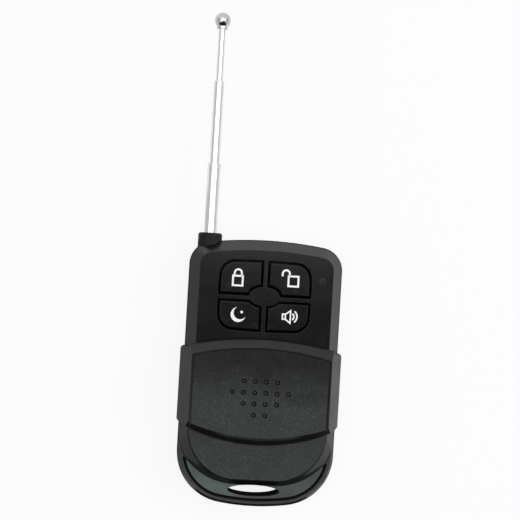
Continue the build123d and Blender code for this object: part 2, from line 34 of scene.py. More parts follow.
# The photographer's camera, from points measured in the photograph
photoCamera = {
    "place": (-0.02606, 0.02856, 0.400),
    "tiltDegrees": (0.30, -3.55, 3.37),
    "focalPixels": 1449.7,
    "framePixels": 520,
    "sensorWidth": 36.0,
    "clipStart": 0.01,
}


def addPhotoCamera():
    camera = bpy.data.cameras.new("photoCamera")
    camera.sensor_width = photoCamera["sensorWidth"]
    camera.lens = photoCamera["focalPixels"] / photoCamera["framePixels"] * photoCamera["sensorWidth"]
    camera.clip_start = photoCamera["clipStart"]
    cameraObject = bpy.data.objects.new("photoCamera", camera)
    bpy.context.scene.collection.objects.link(cameraObject)
    tiltX, tiltY, tiltZ = (radians(angle) for angle in photoCamera["tiltDegrees"])
    turn = Matrix.Rotation(tiltX, 4, "X") @ Matrix.Rotation(tiltY, 4, "Y")
    turn = turn @ Matrix.Rotation(tiltZ, 4, "Z")
    cameraObject.matrix_world = Matrix.Translation(Vector(photoCamera["place"])) @ turn
    bpy.context.scene.camera = cameraObject


addPhotoCamera()
print("camera placed")


# Short ways to build node trees

# inputs maps a socket's name or number to a value or another node's output
def fill(tree, node, inputs):
    for key, value in inputs.items():
        if isinstance(value, bpy.types.NodeSocket):
            tree.links.new(value, node.inputs[key])
        else:
            node.inputs[key].default_value = value
    return node.outputs


def addNode(tree, kind, inputs=None, **settings):
    node = tree.nodes.new("ShaderNode" + kind)
    for name, value in settings.items():
        setattr(node, name, value)
    return fill(tree, node, inputs or {})


def calc(tree, operation, first, second=0.0, clamp=False):
    return addNode(tree, "Math", {0: first, 1: second}, operation=operation, use_clamp=clamp)[0]


def times(tree, *factors):
    product = factors[0]
    for factor in factors[1:]:
        product = calc(tree, "MULTIPLY", product, factor)
    return product


def anyOf(tree, *masks):
    largest = masks[0]
    for mask in masks[1:]:
        largest = calc(tree, "MAXIMUM", largest, mask)
    return largest


def inverse(tree, mask):
    return calc(tree, "SUBTRACT", 1.0, mask)


# a smooth step from 0 where value is start to 1 where it is end
def ramp(tree, value, start, end):
    sockets = {"Value": value, "From Min": start, "From Max": end}
    return addNode(tree, "MapRange", sockets, interpolation_type="SMOOTHSTEP")[0]


def mixColour(tree, mask, low, high):
    return addNode(tree, "Mix", {0: mask, 6: low, 7: high}, data_type="RGBA", blend_type="MIX")[2]


def mixValue(tree, mask, low, high):
    return addNode(tree, "Mix", {0: mask, 2: low, 3: high})[0]


def bump(tree, height, depth, strength, normal=None):
    inputs = {"Strength": strength, "Distance": depth, "Height": height}
    if normal is not None:
        inputs["Normal"] = normal
    return addNode(tree, "Bump", inputs)[0]


def rgb(*colour):
    return (*colour, 1.0)


def makeGroup(name, inputs, outputs):
    tree = bpy.data.node_groups.new(name, "ShaderNodeTree")
    for label, kind, value in inputs:
        socket = tree.interface.new_socket(label, in_out="INPUT", socket_type="NodeSocket" + kind)
        if value is not None:
            socket.default_value = value
    for label, kind in outputs:
        tree.interface.new_socket(label, in_out="OUTPUT", socket_type="NodeSocket" + kind)
    return tree, tree.nodes.new("NodeGroupInput").outputs, tree.nodes.new("NodeGroupOutput").inputs


def useGroup(tree, group, inputs):
    node = tree.nodes.new("ShaderNodeGroup")
    node.node_tree = group
    return fill(tree, node, inputs)


# Spark-eroded mould texture: a height for bump, and the odd pale speck
grainShape = {
    "coarse": {"Detail": 3.0, "Roughness": 0.6},
    "pitScale": 1.4, "pitShare": 0.5,
    "specks": {"Detail": 4.0, "Roughness": 0.75},
    "speckScale": 0.6, "speckRange": (0.55, 0.65),
}


def makeMouldGrain():
    look = grainShape
    inputs = [("Coordinates", "Vector", None), ("Scale", "Float", 3000.0)]
    tree, given, wanted = makeGroup("mouldGrain", inputs, [("Height", "Float"), ("Speckle", "Float")])
    place, scale = given["Coordinates"], given["Scale"]
    coarse = addNode(tree, "TexNoise", {"Vector": place, "Scale": scale, **look["coarse"]})[0]
    pitScale = times(tree, scale, look["pitScale"])
    pits = addNode(tree, "TexVoronoi", {"Vector": place, "Scale": pitScale})[0]
    tree.links.new(calc(tree, "ADD", coarse, times(tree, pits, look["pitShare"])), wanted["Height"])
    speckScale = times(tree, scale, look["speckScale"])
    specks = addNode(tree, "TexNoise", {"Vector": place, "Scale": speckScale, **look["specks"]})[0]
    tree.links.new(ramp(tree, specks, *look["speckRange"]), wanted["Speckle"])
    return tree


# Corners that catch the light and rub lighter: a rounded normal, and a mask of the edges where the
# finishes lighten the colour as wear and as a painted highlight
softEdgeShape = {"samples": 6, "turnRange": (0.01, 0.22)}


def makeSoftEdges():
    look = softEdgeShape
    inputs = [("Radius", "Float", 0.0002)]
    tree, given, wanted = makeGroup("softEdges", inputs, [("Normal", "Vector"), ("Edge", "Float")])
    rounded = addNode(tree, "Bevel", {"Radius": given["Radius"]}, samples=look["samples"])[0]
    flat = addNode(tree, "NewGeometry")["Normal"]
    match = addNode(tree, "VectorMath", {0: rounded, 1: flat}, operation="DOT_PRODUCT")["Value"]
    tree.links.new(rounded, wanted["Normal"])
    tree.links.new(ramp(tree, inverse(tree, match), *look["turnRange"]), wanted["Edge"])
    return tree


# Slow patches left by hands and cleaning
handMarkShape = {"noise": {"Detail": 4.0, "Roughness": 0.55, "Distortion": 0.8}, "range": (0.36, 0.66)}


def makeHandMarks():
    look = handMarkShape
    inputs = [("Coordinates", "Vector", None), ("Scale", "Float", 120.0)]
    tree, given, wanted = makeGroup("handMarks", inputs, [("Smudge", "Float")])
    noise = {"Vector": given["Coordinates"], "Scale": given["Scale"], **look["noise"]}
    tree.links.new(ramp(tree, addNode(tree, "TexNoise", noise)[0], *look["range"]), wanted["Smudge"])
    return tree


# Fine rubbed lines, long along the Y of the coordinates they get
rubLineShape = {
    "stretch": (2600.0, 70.0, 2600.0), "detail": 2.0,
    "start": 0.78, "startPerAmount": 0.3, "width": 0.1,
}


def makeRubLines():
    look = rubLineShape
    inputs = [("Coordinates", "Vector", None), ("Amount", "Float", 0.3)]
    tree, given, wanted = makeGroup("rubLines", inputs, [("Line", "Float")])
    stretched = addNode(tree, "Mapping", {"Vector": given["Coordinates"], "Scale": look["stretch"]})[0]
    lines = addNode(tree, "TexNoise", {"Vector": stretched, "Scale": 1.0, "Detail": look["detail"]})[0]
    start = calc(tree, "SUBTRACT", look["start"], times(tree, given["Amount"], look["startPerAmount"]))
    end = calc(tree, "ADD", start, look["width"])
    tree.links.new(ramp(tree, lines, start, end), wanted["Line"])
    return tree


mouldGrain = makeMouldGrain()
softEdges = makeSoftEdges()
handMarks = makeHandMarks()
rubLines = makeRubLines()


def grainAt(tree, coordinates, scale):
    return useGroup(tree, mouldGrain, {"Coordinates": coordinates, "Scale": scale})


def smudgeAt(tree, coordinates, scale):
    return useGroup(tree, handMarks, {"Coordinates": coordinates, "Scale": scale})["Smudge"]


def specked(tree, grain, share, colour, speckColour):
    return mixColour(tree, times(tree, grain["Speckle"], share), colour, speckColour)


def startMaterial(name):
    material = bpy.data.materials.new(name)
    material.use_nodes = True
    tree = material.node_tree
    shader = tree.nodes["Principled BSDF"]
    coordinates = addNode(tree, "TexCoord")["Object"]
    x, y, z = addNode(tree, "SeparateXYZ", {0: coordinates})
    return material, tree, shader, coordinates, (x, y, z)


# Upright share of the surface's normal, where a face counts as lying flat or as a wall
flatFrom = (0.80, 0.82)
wallFrom = (0.42, 0.30)


def uprightNormal(tree):
    normal = addNode(tree, "NewGeometry")["True Normal"]
    return addNode(tree, "SeparateXYZ", {0: normal})[2]


def facingUp(tree):
    return ramp(tree, uprightNormal(tree), *flatFrom)


def onWall(tree):
    return ramp(tree, calc(tree, "ABSOLUTE", uprightNormal(tree)), *wallFrom)


def dress(material, *nodeNames):
    for nodeName in nodeNames:
        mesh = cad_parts[nodeName].data
        mesh.materials.clear()
        mesh.materials.append(material)


# what every moulded surface has: soft edges lightened as wear and as a painted highlight, hand marks and
# grain
def finishSurface(tree, shader, look, coordinates, colour, roughness, grain, edgeColour):
    edges = useGroup(tree, softEdges, {"Radius": look["edgeRadius"]})
    smudge = smudgeAt(tree, coordinates, look["smudgeScale"])
    # edges lightened in colour: partly rubbed wear, partly painted highlight
    rubbed = times(tree, edges["Edge"], look["edgeWearAndHighlight"])
    colour = mixColour(tree, times(tree, smudge, look["smudgeShade"]), colour, rgb(0.0, 0.0, 0.0))
    smeared = times(tree, smudge, look["smudgeRoughness"])
    fill(tree, shader, {
        "Base Color": mixColour(tree, rubbed, colour, edgeColour),
        "Roughness": calc(tree, "ADD", roughness, smeared, clamp=True),
        "Normal": bump(tree, grain, look["grainDepth"], 1.0, edges["Normal"]),
        "Specular IOR Level": look["shine"],
    })


# Front shell: satin face round the keys, textured pad below, smooth scoop at the keyring end, coloured
# lighter than the face as a painted sheen that is stronger on its left.
# The pad's edge and the case's outline have thin black lines of painted shade, and the walls are matt.
# A range gives where its mask is 0 and where it is 1.
frontShellLook = {
    "shine": 0.35,
    "faceColour": rgb(0.0060, 0.0061, 0.0064),
    "padColour": rgb(0.0150, 0.0205, 0.0175),
    "speckColour": rgb(0.088, 0.096, 0.090),
    "speckShare": 0.7,
    # painted sheen: the scoop's light colour, lighter on the left than on the right
    "scoopSheenLeftColour": rgb(0.063, 0.090, 0.080),
    "scoopSheenRightColour": rgb(0.041, 0.050, 0.046),
    # painted shade: near-black colour for the pad's crease and the case's lower outline
    "shadeLineColour": rgb(0.0008, 0.0008, 0.0008),
    "faceRoughness": 0.22,
    "padRoughness": 0.40,
    "scoopRoughness": 0.30,
    "wallRoughness": 0.9,
    "faceZ": (12.90 * mm, 12.93 * mm),
    "padY": (6.7 * mm, 6.6 * mm),
    "scoopZ": (9.42 * mm, 9.37 * mm),
    "scoopY": (-19.0 * mm, -20.0 * mm),
    "scoopX": (-12.0 * mm, 12.0 * mm),
    "footY": (-9.0 * mm, -10.0 * mm),
    "footSlopeX": (10.0 * mm, 16.0 * mm),
    # painted sheen: how far the foot's side slopes are lightened toward the pad's colour
    "footSlopeSheenShare": 0.7,
    "padCreaseShadeZ": (12.5 * mm, 12.55 * mm),
    "outlineShadeZ": (8.65 * mm, 8.60 * mm),
    "grainScale": 3600.0,
    "grainDepth": 0.00002,
    "grainShares": (0.22, 1.0),
    "edgeRadius": 0.00018,
    "edgeWearAndHighlight": 0.45,
    "wornAndHighlightColour": rgb(0.05, 0.052, 0.052),
    # painted shade: the edges at the foot are painted black
    "footEdgeShadeColour": rgb(0.0, 0.0, 0.0),
    "smudgeScale": 110.0,
    "smudgeRoughness": 0.06,
    "smudgeShade": 0.25,
}


def makeFrontShellFinish():
    look = frontShellLook
    material, tree, shader, coordinates, (x, y, z) = startMaterial("frontShellFinish")
    grain = grainAt(tree, coordinates, look["grainScale"])
    onFace = ramp(tree, z, *look["faceZ"])
    onPad = times(tree, onFace, ramp(tree, y, *look["padY"]))
    inScoop = times(tree, ramp(tree, z, *look["scoopZ"]), ramp(tree, y, *look["scoopY"]), facingUp(tree))
    atFoot = ramp(tree, y, *look["footY"])
    atSide = ramp(tree, calc(tree, "ABSOLUTE", x), *look["footSlopeX"])
    # painted shade: black line along the crease at the pad's edge, and over the walls below the outline
    # height
    padCreaseShade = times(tree, ramp(tree, z, *look["padCreaseShadeZ"]), atFoot, inverse(tree, onFace))
    inShadeLine = anyOf(tree, padCreaseShade, ramp(tree, z, *look["outlineShadeZ"]))

    # painted sheen: the slopes at the foot's sides are coloured lighter, toward the pad
    footSlopeSheen = times(tree, atFoot, atSide, look["footSlopeSheenShare"])
    colour = mixColour(tree, footSlopeSheen, look["faceColour"], look["padColour"])
    padColour = specked(tree, grain, look["speckShare"], look["padColour"], look["speckColour"])
    colour = mixColour(tree, onPad, colour, padColour)
    # painted sheen on the scoop, fading from left to right
    toRight = ramp(tree, x, *look["scoopX"])
    scoopSheenColour = mixColour(tree, toRight, look["scoopSheenLeftColour"], look["scoopSheenRightColour"])
    colour = mixColour(tree, inScoop, colour, scoopSheenColour)
    colour = mixColour(tree, inShadeLine, colour, look["shadeLineColour"])
    # at the foot the edges take painted black shade instead of the lighter edge colour
    edgeColour = mixColour(tree, atFoot, look["wornAndHighlightColour"], look["footEdgeShadeColour"])

    roughness = mixValue(tree, onPad, look["faceRoughness"], look["padRoughness"])
    roughness = mixValue(tree, inScoop, roughness, look["scoopRoughness"])
    roughness = mixValue(tree, anyOf(tree, inShadeLine, onWall(tree)), roughness, look["wallRoughness"])
    height = times(tree, grain["Height"], mixValue(tree, onPad, *look["grainShares"]))
    finishSurface(tree, shader, look, coordinates, colour, roughness, height, edgeColour)
    return material


dress(makeFrontShellFinish(), "front_shell")

# Rear shell: the same black, with a fine texture all over
rearShellLook = {
    "shine": 0.35,
    "colour": rgb(0.0065, 0.0066, 0.0069),
    "speckColour": rgb(0.03, 0.031, 0.031),
    "speckShare": 0.3,
    "roughness": 0.44,
    "grainScale": 3000.0,
    "grainDepth": 0.000014,
    "edgeRadius": 0.00012,
    "edgeWearAndHighlight": 0.4,
    "wornAndHighlightColour": rgb(0.055, 0.057, 0.057),
    "smudgeScale": 90.0,
    "smudgeRoughness": 0.08,
    "smudgeShade": 0.2,
}

collarLook = {
    **rearShellLook,
    "shine": 0.22,
    "colour": rgb(0.0050, 0.0052, 0.0055),
    "roughness": 0.5,
    "grainScale": 5200.0,
    "grainDepth": 0.00001,
}

keyLook = {
    **rearShellLook,
    "colour": rgb(0.0042, 0.0042, 0.0056),
    "speckColour": rgb(0.018, 0.018, 0.021),
    # painted shade: the key's colour below its cap, in the gaps
    "gapColour": rgb(0.0006, 0.0006, 0.0007),
    "roughness": 0.22,
    "gapRoughness": 0.06,
    "gapZ": (13.0 * mm, 12.9 * mm),
    "grainScale": 4600.0,
    "grainDepth": 0.000006,
    "edgeRadius": 0.00007,
    "edgeWearAndHighlight": 0.7,
    "wornAndHighlightColour": rgb(0.085, 0.085, 0.09),
    "smudgeScale": 260.0,
    "smudgeRoughness": 0.07,
    "smudgeShade": 0.25,
}

switchPlasticLook = {**rearShellLook, "colour": rgb(0.02, 0.02, 0.022), "roughness": 0.55}
plungerLook = {
    **rearShellLook,
    "colour": rgb(0.09, 0.012, 0.011),
    "speckColour": rgb(0.14, 0.02, 0.02),
    "roughness": 0.5,
}


def makeMouldedPlastic(name, look):
    material, tree, shader, coordinates, axes = startMaterial(name)
    grain = grainAt(tree, coordinates, look["grainScale"])
    colour = specked(tree, grain, look["speckShare"], look["colour"], look["speckColour"])
    finishSurface(tree, shader, look, coordinates, colour, look["roughness"], grain["Height"],
                  look["wornAndHighlightColour"])
    return material


# below its cap a key is coloured black as painted shade, so the gaps round it read black
def makeKeyFinish():
    look = keyLook
    material, tree, shader, coordinates, (x, y, z) = startMaterial("keyFinish")
    grain = grainAt(tree, coordinates, look["grainScale"])
    inGapShade = ramp(tree, z, *look["gapZ"])
    colour = specked(tree, grain, look["speckShare"], look["colour"], look["speckColour"])
    colour = mixColour(tree, inGapShade, colour, look["gapColour"])
    roughness = mixValue(tree, inGapShade, look["roughness"], look["gapRoughness"])
    edgeColour = mixColour(tree, inGapShade, look["wornAndHighlightColour"], look["gapColour"])
    finishSurface(tree, shader, look, coordinates, colour, roughness, grain["Height"], edgeColour)
    return material


dress(makeMouldedPlastic("rearShellFinish", rearShellLook), "rear_shell")
dress(makeMouldedPlastic("collarFinish", collarLook), "aerial_collar")
dress(makeKeyFinish(), "lock_key", "unlock_key", "night_key", "alert_key")
dress(makeMouldedPlastic("switchPlastic", switchPlasticLook), "switch_housings")
dress(makeMouldedPlastic("plungerPlastic", plungerLook),
      "lock_plunger", "unlock_plunger", "night_plunger", "alert_plunger")

# Sliding cover: textured panel between satin slopes, with painted shade darkening it in patches towards
# its head, and dimples with painted shade on their walls and a painted highlight on their floors
coverLook = {
    "shine": 0.35,
    "slopeColour": rgb(0.0065, 0.0066, 0.0068),
    "panelColour": rgb(0.0205, 0.0275, 0.0230),
    # painted shade: the panel's darker colour towards the cover's head
    "headShadeColour": rgb(0.0030, 0.0042, 0.0036),
    "speckColour": rgb(0.088, 0.096, 0.090),
    "speckShares": (0.7, 0.25),
    # painted shade on the dimples' walls, and below it a painted highlight on their floors
    "dimpleShadingColour": rgb(0.0008, 0.0010, 0.0009),
    "dimpleFloorHighlightColour": rgb(0.045, 0.050, 0.047),
    "slopeRoughness": 0.28,
    "panelRoughness": 0.38,
    "headRoughness": 0.31,
    "dimpleRoughness": 0.1,
    "panelTopZ": (14.995 * mm, 14.975 * mm),
    "panelFloorZ": (14.475 * mm, 14.575 * mm),
    "panelX": (18.6 * mm, 18.55 * mm),
    "headShadeY": (-9.0 * mm, 6.0 * mm),
    "headShadePatchScale": 60.0,
    "headShadePatchReach": 5.0 * mm,
    "dimpleZ": (14.925 * mm, 14.855 * mm),
    "dimpleX": (8.8 * mm, 8.4 * mm),
    "dimplesMiddleY": -6.3 * mm,
    "dimpleFromMiddleY": (5.9 * mm, 5.5 * mm),
    "grainScale": 3600.0,
    "grainDepth": 0.00002,
    "grainShares": (0.2, 1.0),
    "edgeRadius": 0.00016,
    "edgeWearAndHighlight": 0.6,
    "wornAndHighlightColour": rgb(0.06, 0.062, 0.062),
    "smudgeScale": 100.0,
    "smudgeRoughness": 0.07,
    "smudgeShade": 0.25,
}


def makeCoverFinish():
    look = coverLook
    material, tree, shader, coordinates, (x, y, z) = startMaterial("coverFinish")
    grain = grainAt(tree, coordinates, look["grainScale"])
    fromAxis = calc(tree, "ABSOLUTE", x)
    onPanel = times(tree, ramp(tree, z, *look["panelTopZ"]), ramp(tree, z, *look["panelFloorZ"]),
                    ramp(tree, fromAxis, *look["panelX"]), facingUp(tree))
    patches = times(tree, smudgeAt(tree, coordinates, look["headShadePatchScale"]), look["headShadePatchReach"])
    # painted shade: the panel grows darker towards the cover's head, in patches
    shadedTowardHead = ramp(tree, calc(tree, "ADD", y, patches), *look["headShadeY"])
    fromMiddle = calc(tree, "ABSOLUTE", calc(tree, "SUBTRACT", y, look["dimplesMiddleY"]))
    inDimple = times(tree, ramp(tree, z, *look["dimpleZ"]), ramp(tree, fromAxis, *look["dimpleX"]),
                     ramp(tree, fromMiddle, *look["dimpleFromMiddleY"]))

    panelColour = mixColour(tree, shadedTowardHead, look["panelColour"], look["headShadeColour"])
    speckShare = mixValue(tree, shadedTowardHead, *look["speckShares"])
    panelColour = specked(tree, grain, speckShare, panelColour, look["speckColour"])
    colour = mixColour(tree, onPanel, look["slopeColour"], panelColour)
    # painted shade on the dimples' walls and a painted highlight on their upward floors
    dimpleShadingColour = mixColour(tree, facingUp(tree), look["dimpleShadingColour"], look["dimpleFloorHighlightColour"])
    colour = mixColour(tree, inDimple, colour, dimpleShadingColour)
    edgeColour = mixColour(tree, inDimple, look["wornAndHighlightColour"], look["dimpleShadingColour"])

    panelRoughness = mixValue(tree, shadedTowardHead, look["panelRoughness"], look["headRoughness"])
    roughness = mixValue(tree, onPanel, look["slopeRoughness"], panelRoughness)
    roughness = mixValue(tree, inDimple, roughness, look["dimpleRoughness"])
    height = times(tree, grain["Height"], mixValue(tree, onPanel, *look["grainShares"]))
    finishSurface(tree, shader, look, coordinates, colour, roughness, height, edgeColour)
    return material


dress(makeCoverFinish(), "slide_cover")
print("case, cover and keys dressed")

# Drawn and plated metals, by what is plated on them
metalLooks = {
    "aerialChrome": {
        "nodes": ["aerial_base_tube", "aerial_middle_tube", "aerial_tip_rod"],
        "colour": rgb(0.79, 0.82, 0.81), "dullColour": rgb(0.70, 0.72, 0.71),
        "roughness": 0.09, "lines": 0.12},
    "ballChrome": {
        "nodes": ["aerial_tip_ball"],
        "colour": rgb(0.62, 0.63, 0.62), "dullColour": rgb(0.30, 0.31, 0.31),
        "roughness": 0.12, "lines": 0.5},
    "aerialBrass": {
        "nodes": ["aerial_base_foot", "aerial_middle_foot", "aerial_tip_foot", "aerial_sleeve",
                  "aerial_clip"],
        "colour": rgb(0.62, 0.46, 0.19), "dullColour": rgb(0.40, 0.28, 0.12),
        "roughness": 0.28, "lines": 0.4},
    "screwZinc": {
        "nodes": ["case_screws"],
        "colour": rgb(0.50, 0.50, 0.51), "dullColour": rgb(0.30, 0.30, 0.31),
        "roughness": 0.32, "lines": 0.3},
    "contactSteel": {
        "nodes": ["battery_plus_contact", "battery_minus_contact", "switch_plates"],
        "colour": rgb(0.58, 0.57, 0.54), "dullColour": rgb(0.42, 0.41, 0.39),
        "roughness": 0.30, "lines": 0.5},
    "resonatorCan": {
        "nodes": ["saw_resonator"],
        "colour": rgb(0.60, 0.59, 0.55), "dullColour": rgb(0.46, 0.45, 0.42),
        "roughness": 0.24, "lines": 0.5},
}
metalWear = {
    "smudgeScale": 240.0, "smudgeShare": 0.4, "lineShare": 0.6, "roughening": 0.10,
    "edgeRadius": 0.00008, "lineDepth": 0.000003, "lineStrength": 0.5,
}


def makeMetal(name, look):
    material, tree, shader, coordinates, axes = startMaterial(name)
    smudge = smudgeAt(tree, coordinates, metalWear["smudgeScale"])
    line = useGroup(tree, rubLines, {"Coordinates": coordinates, "Amount": look["lines"]})["Line"]
    edges = useGroup(tree, softEdges, {"Radius": metalWear["edgeRadius"]})
    smudged = times(tree, smudge, metalWear["smudgeShare"])
    rubbed = times(tree, line, metalWear["lineShare"])
    dull = anyOf(tree, smudged, rubbed)
    roughening = times(tree, dull, metalWear["roughening"])
    fill(tree, shader, {
        "Base Color": mixColour(tree, dull, look["colour"], look["dullColour"]),
        "Roughness": calc(tree, "ADD", look["roughness"], roughening, clamp=True),
        "Normal": bump(tree, line, metalWear["lineDepth"], metalWear["lineStrength"], edges["Normal"]),
        "Metallic": 1.0,
    })
    dress(material, *look["nodes"])


for metalName, metalLook in metalLooks.items():
    makeMetal(metalName, metalLook)
print("metals dressed")

# Circuit board: green lacquer over the tracks, bare edges, tinned pads
boardLook = {
    "maskColour": rgb(0.012, 0.075, 0.030),
    "trackColour": rgb(0.030, 0.150, 0.062),
    "edgeColour": rgb(0.34, 0.29, 0.15),
    "padColour": rgb(0.62, 0.60, 0.55),
    "topZ": (6.18 * mm, 6.19 * mm),
    "bottomZ": (5.02 * mm, 5.01 * mm),
    "tracks": {"Scale": 420.0, "Mortar Size": 0.06, "Mortar Smooth": 0.1, "Brick Width": 1.6,
               "Row Height": 0.42},
    "trackDepth": 0.00003,
    "trackStrength": 0.6,
    "pads": {"Scale": 340.0, "Randomness": 0.55},
    "padRadius": 0.12,
    "roughness": 0.28,
    "smudgeScale": 150.0,
    "smudgeRoughness": 0.12,
}


def makeBoardFinish():
    look = boardLook
    material, tree, shader, coordinates, (x, y, z) = startMaterial("boardFinish")
    tracks = addNode(tree, "TexBrick", {"Vector": coordinates, **look["tracks"]})["Fac"]
    pads = addNode(tree, "TexVoronoi", {"Vector": coordinates, **look["pads"]})[0]
    onFace = calc(tree, "ADD", ramp(tree, z, *look["topZ"]), ramp(tree, z, *look["bottomZ"]), clamp=True)
    onPad = calc(tree, "LESS_THAN", pads, look["padRadius"])
    colour = mixColour(tree, tracks, look["maskColour"], look["trackColour"])
    colour = mixColour(tree, onPad, colour, look["padColour"])
    smeared = times(tree, smudgeAt(tree, coordinates, look["smudgeScale"]), look["smudgeRoughness"])
    fill(tree, shader, {
        "Base Color": mixColour(tree, onFace, look["edgeColour"], colour),
        "Roughness": calc(tree, "ADD", look["roughness"], smeared),
        "Normal": bump(tree, tracks, look["trackDepth"], look["trackStrength"]),
    })
    return material


dress(makeBoardFinish(), "main_board")

# Chips: epoxy body, tinned leads below the height given
chipLook = {
    "metal": rgb(0.62, 0.61, 0.58), "speckColour": rgb(0.04, 0.04, 0.04), "speckShare": 0.25,
    "roughness": 0.5, "leadRoughness": 0.25,
    "grainScale": 2600.0, "grainDepth": 0.00001, "grainStrength": 0.6,
}
chipLooks = {
    "encoderEpoxy": {
        **chipLook, "node": "encoder_chip",
        "body": rgb(0.016, 0.016, 0.017), "leadZ": (6.47 * mm, 6.45 * mm)},
    "transistorEpoxy": {
        **chipLook, "node": "rf_transistor",
        "body": rgb(0.018, 0.018, 0.019), "leadZ": (6.42 * mm, 6.40 * mm)},
}


def makeChipFinish(name, look):
    material, tree, shader, coordinates, (x, y, z) = startMaterial(name)
    grain = grainAt(tree, coordinates, look["grainScale"])
    onLead = ramp(tree, z, *look["leadZ"])
    body = specked(tree, grain, look["speckShare"], look["body"], look["speckColour"])
    fill(tree, shader, {
        "Base Color": mixColour(tree, onLead, body, look["metal"]),
        "Roughness": mixValue(tree, onLead, look["roughness"], look["leadRoughness"]),
        "Metallic": onLead,
        "Normal": bump(tree, grain["Height"], look["grainDepth"], look["grainStrength"]),
    })
    dress(material, look["node"])


for chipName, chip in chipLooks.items():
    makeChipFinish(chipName, chip)

# Chip resistors and capacitors: a row of them across, and a column of them near the middle
smallPartLook = {
    "body": rgb(0.30, 0.21, 0.12), "ends": rgb(0.66, 0.65, 0.62),
    "speckColour": rgb(0.42, 0.32, 0.2), "speckShare": 0.4, "grainScale": 5000.0,
    "roughness": 0.45, "endRoughness": 0.28,
    "firstRowX": 7.6 * mm, "rowPitch": 2.4 * mm, "pitchesBefore": 4.5,
    "columnX": 1.6 * mm, "splitX": 4.0 * mm, "bodyHalf": 0.36 * mm,
}


def makeSmallPartFinish():
    look = smallPartLook
    material, tree, shader, coordinates, (x, y, z) = startMaterial("smallPartFinish")
    pitch = look["rowPitch"]
    fromRow = calc(tree, "SUBTRACT", x, look["firstRowX"])
    fromRow = calc(tree, "ADD", fromRow, pitch * look["pitchesBefore"])
    fromRow = calc(tree, "SUBTRACT", calc(tree, "MODULO", fromRow, pitch), pitch / 2)
    fromColumn = calc(tree, "SUBTRACT", x, look["columnX"])
    along = mixValue(tree, calc(tree, "GREATER_THAN", x, look["splitX"]), fromColumn, fromRow)
    onEnd = calc(tree, "GREATER_THAN", calc(tree, "ABSOLUTE", along), look["bodyHalf"])
    grain = grainAt(tree, coordinates, look["grainScale"])
    body = specked(tree, grain, look["speckShare"], look["body"], look["speckColour"])
    fill(tree, shader, {
        "Base Color": mixColour(tree, onEnd, body, look["ends"]),
        "Roughness": mixValue(tree, onEnd, look["roughness"], look["endRoughness"]),
        "Metallic": onEnd,
    })
    return material


dress(makeSmallPartFinish(), "small_board_parts")

# Tuning coil: lacquered copper wire, with painted shade between its turns
coilLook = {
    # painted shade: the darker copper between the turns
    "wire": rgb(0.62, 0.22, 0.08), "gap": rgb(0.10, 0.03, 0.012),
    "turnsPerMetre": 2600.0, "wireRange": (0.05, 0.5), "turnDepth": 0.0001,
    "roughness": 0.3, "smudgeScale": 500.0, "smudgeRoughness": 0.15, "metallic": 0.8,
}


def makeCoilFinish():
    look = coilLook
    material, tree, shader, coordinates, (x, y, z) = startMaterial("coilWinding")
    wave = calc(tree, "SINE", times(tree, x, look["turnsPerMetre"] * 2 * pi))
    turn = calc(tree, "ADD", times(tree, wave, 0.5), 0.5)
    smeared = times(tree, smudgeAt(tree, coordinates, look["smudgeScale"]), look["smudgeRoughness"])
    fill(tree, shader, {
        "Base Color": mixColour(tree, ramp(tree, turn, *look["wireRange"]), look["gap"], look["wire"]),
        "Roughness": calc(tree, "ADD", look["roughness"], smeared),
        "Normal": bump(tree, turn, look["turnDepth"], 1.0),
        "Metallic": look["metallic"],
    })
    return material


dress(makeCoilFinish(), "tuning_coil")

# Trimmer capacitor: orange body, metal dial on top
trimmerLook = {
    "body": rgb(0.55, 0.20, 0.04), "dial": rgb(0.62, 0.58, 0.48), "dialZ": (7.81 * mm, 7.83 * mm),
    "speckColour": rgb(0.68, 0.32, 0.12), "speckShare": 0.3, "grainScale": 3000.0,
    "roughness": 0.42, "dialRoughness": 0.3,
}


def makeTrimmerFinish():
    look = trimmerLook
    material, tree, shader, coordinates, (x, y, z) = startMaterial("trimmerFinish")
    onDial = ramp(tree, z, *look["dialZ"])
    grain = grainAt(tree, coordinates, look["grainScale"])
    body = specked(tree, grain, look["speckShare"], look["body"], look["speckColour"])
    fill(tree, shader, {
        "Base Color": mixColour(tree, onDial, body, look["dial"]),
        "Roughness": mixValue(tree, onDial, look["roughness"], look["dialRoughness"]),
        "Metallic": onDial,
    })
    return material


dress(makeTrimmerFinish(), "trimmer_capacitor")

# Cell: dark printed wrap with a gold band at its plus end, bare metal at both ends
batteryLook = {
    "wrap": rgb(0.05, 0.055, 0.06), "band": rgb(0.62, 0.45, 0.13), "can": rgb(0.62, 0.62, 0.60),
    "wrapStartX": (-13.2 * mm, -13.1 * mm), "wrapEndX": (12.9 * mm, 12.8 * mm),
    "bandX": (6.5 * mm, 6.6 * mm),
    "roughness": 0.36, "canRoughness": 0.28, "wrapMetallic": 0.25,
    "smudgeScale": 200.0, "smudgeColour": rgb(0.2, 0.2, 0.19), "smudgeShare": 0.15,
}


def makeBatteryFinish():
    look = batteryLook
    material, tree, shader, coordinates, (x, y, z) = startMaterial("batteryWrap")
    wrapped = times(tree, ramp(tree, x, *look["wrapStartX"]), ramp(tree, x, *look["wrapEndX"]))
    smudge = times(tree, smudgeAt(tree, coordinates, look["smudgeScale"]), look["smudgeShare"])
    wrap = mixColour(tree, ramp(tree, x, *look["bandX"]), look["wrap"], look["band"])
    wrap = mixColour(tree, smudge, wrap, look["smudgeColour"])
    fill(tree, shader, {
        "Base Color": mixColour(tree, wrapped, look["can"], wrap),
        "Roughness": mixValue(tree, wrapped, look["canRoughness"], look["roughness"]),
        "Metallic": mixValue(tree, wrapped, 1.0, look["wrapMetallic"]),
    })
    return material


dress(makeBatteryFinish(), "battery")

